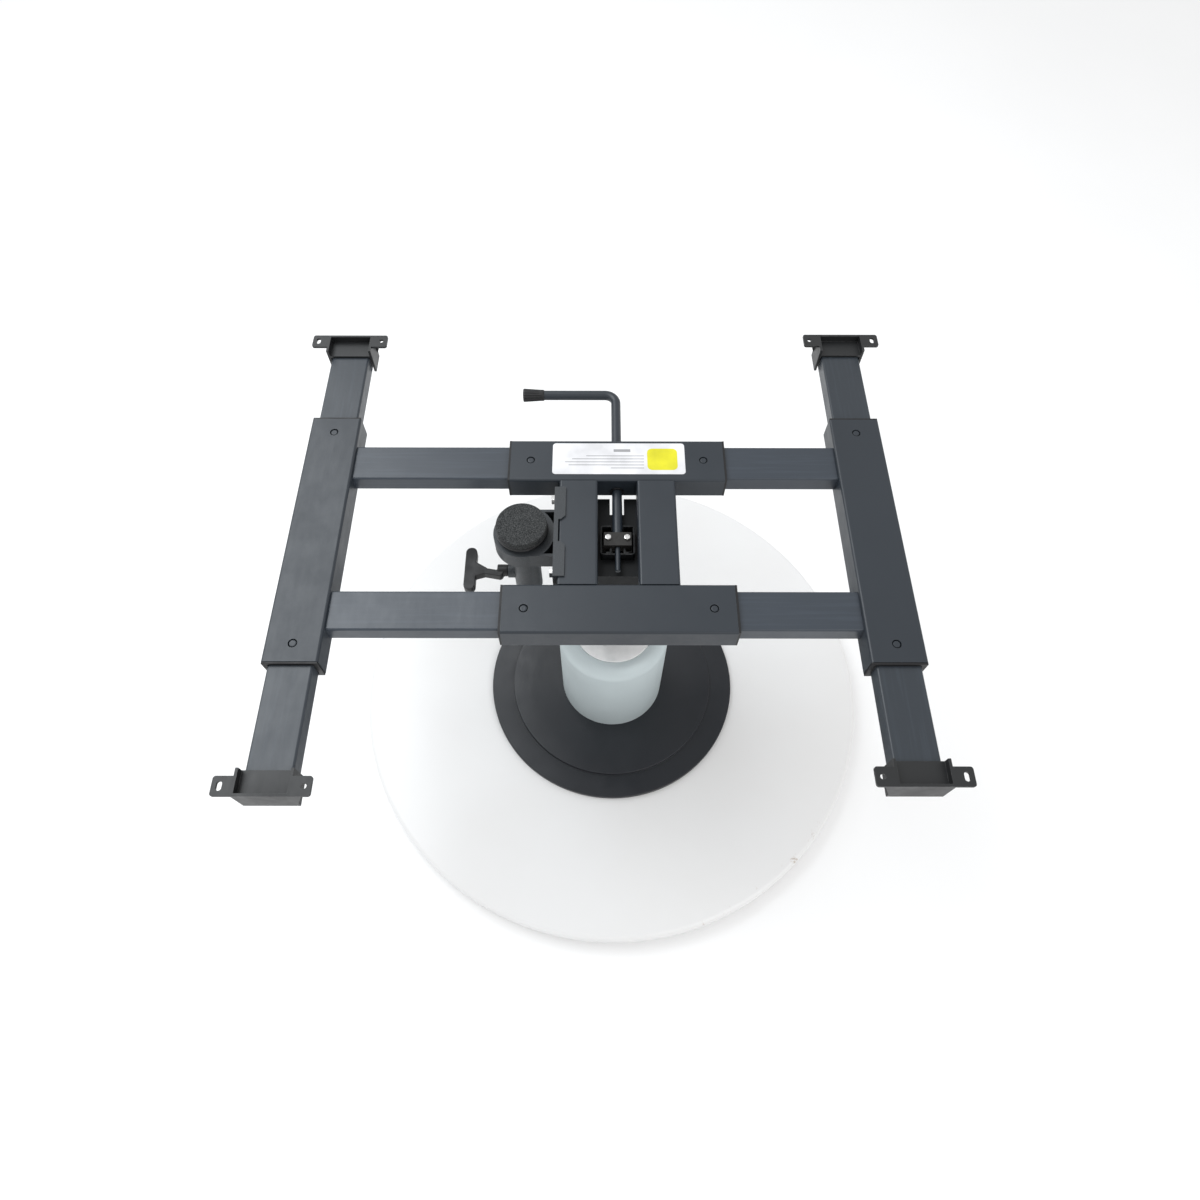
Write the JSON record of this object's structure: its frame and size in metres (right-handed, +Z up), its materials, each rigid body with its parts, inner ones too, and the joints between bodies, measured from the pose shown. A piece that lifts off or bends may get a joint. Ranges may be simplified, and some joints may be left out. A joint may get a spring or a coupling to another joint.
{
  "type": "height-adjustable pedestal stand",
  "caption": "Round-base pedestal stand with a lifting square post, release lever and telescoping H-frame with end brackets, plus a clamped prop with a rubber pad.",
  "frame": {"origin": "on the floor, on the axis of the round column", "axes": "+X to the right along the crossbars, +Y to the back along the side rails, +Z up"},
  "size_m": [0.78, 0.776, 0.488],
  "materials": {
    "disc_white": "satin white laminate",
    "pad_rubber": "matt black sheet rubber",
    "flange_black": "satin near-black powder coat",
    "column_silver": "satin pale blue-grey silver paint",
    "cap_pale": "pale grey moulded plastic",
    "post_black": "satin black powder coat",
    "frame_grey": "satin charcoal powder coat, fine texture",
    "arm_grey": "satin blue-grey powder coat",
    "bracket_black": "satin black powder coat",
    "zinc": "bright zinc plate",
    "steel_dark": "plain oiled steel",
    "screw_black": "black oxide",
    "bush_black": "black moulded nylon",
    "grip_black": "ribbed black plastic",
    "label_white": "white vinyl label, no lettering",
    "collar_grey": "painted casting",
    "tube_grey": "satin grey paint",
    "pad_top": "speckled grained rubber"
  },
  "bodies": {
    "base": {"base_disc": "disc_white", "floor_pad": "pad_rubber", "base_plate": "steel_dark", "base_bolts": "zinc", "flange_cover": "flange_black", "column_cover": "column_silver", "column_cap": "cap_pale", "outer_post": "post_black", "guide_bush": "bush_black", "gas_rod": "zinc", "gas_piston": "steel_dark"},
    "lift_head": {"inner_post": "post_black", "pivot_tabs": "post_black", "head_plate": "post_black", "head_bolts": "zinc", "gas_tube": "screw_black", "gas_clamp": "steel_dark", "front_crossbar": "frame_grey", "back_crossbar": "frame_grey", "left_beam": "frame_grey", "right_beam": "frame_grey", "crossbar_liners": "bush_black", "crossbar_screws": "screw_black", "rating_label": "label_white", "lever_bushes": "bush_black", "clamp_side_plate": "collar_grey", "clamp_collar": "collar_grey", "clamp_plate_bolts": "zinc"},
    "release_lever": {"lever_rod": "frame_grey", "lever_grip": "grip_black", "release_block": "steel_dark", "block_bolts": "zinc"},
    "valve": {"valve_pin": "zinc"},
    "left_side": {"left_front_arm": "arm_grey", "left_back_arm": "arm_grey", "left_rail": "frame_grey", "left_rail_liners": "bush_black", "left_rail_screws": "screw_black"},
    "right_side": {"right_front_arm": "arm_grey", "right_back_arm": "arm_grey", "right_rail": "frame_grey", "right_rail_liners": "bush_black", "right_rail_screws": "screw_black"},
    "support": {"support_post": "tube_grey", "pad_cup": "grip_black", "support_pad": "pad_top"},
    "clamp": {"clamp_screw": "zinc", "clamp_handle": "grip_black"},
    "front_left": {"front_left_slide": "arm_grey", "front_left_bracket": "bracket_black"},
    "front_right": {"front_right_slide": "arm_grey", "front_right_bracket": "bracket_black"},
    "back_left": {"back_left_slide": "arm_grey", "back_left_bracket": "bracket_black"},
    "back_right": {"back_right_slide": "arm_grey", "back_right_bracket": "bracket_black"}
  },
  "joints": [
    {"name": "column_lift", "type": "slide", "parent": "base", "child": "lift_head", "axis": [0, 0, 1], "range_m": [-0.06, 0.09]},
    {"name": "lever_press", "type": "hinge", "parent": "lift_head", "child": "release_lever", "pos_m": [0, 0.1, 0.4585], "axis": [0, -1, 0], "range_deg": [0, 20], "stiffness_Nm_per_rad": 1.2, "springref_deg": -20.05},
    {"name": "valve_stroke", "type": "slide", "parent": "lift_head", "child": "valve", "axis": [0, 0, -1], "range_m": [0, 0.0041]},
    {"name": "left_extend", "type": "slide", "parent": "lift_head", "child": "left_side", "axis": [-1, 0, 0], "range_m": [-0.06, 0.02]},
    {"name": "right_extend", "type": "slide", "parent": "lift_head", "child": "right_side", "axis": [1, 0, 0], "range_m": [-0.005, 0.075]},
    {"name": "front_left_extend", "type": "slide", "parent": "left_side", "child": "front_left", "axis": [0, -1, 0], "range_m": [-0.07, 0.02]},
    {"name": "back_left_extend", "type": "slide", "parent": "left_side", "child": "back_left", "axis": [0, 1, 0], "range_m": [-0.07, 0.017]},
    {"name": "front_right_extend", "type": "slide", "parent": "right_side", "child": "front_right", "axis": [0, -1, 0], "range_m": [-0.06, 0.03]},
    {"name": "back_right_extend", "type": "slide", "parent": "right_side", "child": "back_right", "axis": [0, 1, 0], "range_m": [-0.07, 0.017]},
    {"name": "support_raise", "type": "slide", "parent": "lift_head", "child": "support", "axis": [0, 0, 1], "range_m": [0, 0.09]},
    {"name": "clamp_turn", "type": "hinge", "parent": "lift_head", "child": "clamp", "pos_m": [-0.14, 0.006, 0.381], "axis": [1, 0, 0], "range_deg": [-90, 90]}
  ],
  "couplings": [
    {"joint": "valve_stroke", "follows": "lever_press", "m_per_rad": 0.011459}
  ]
}
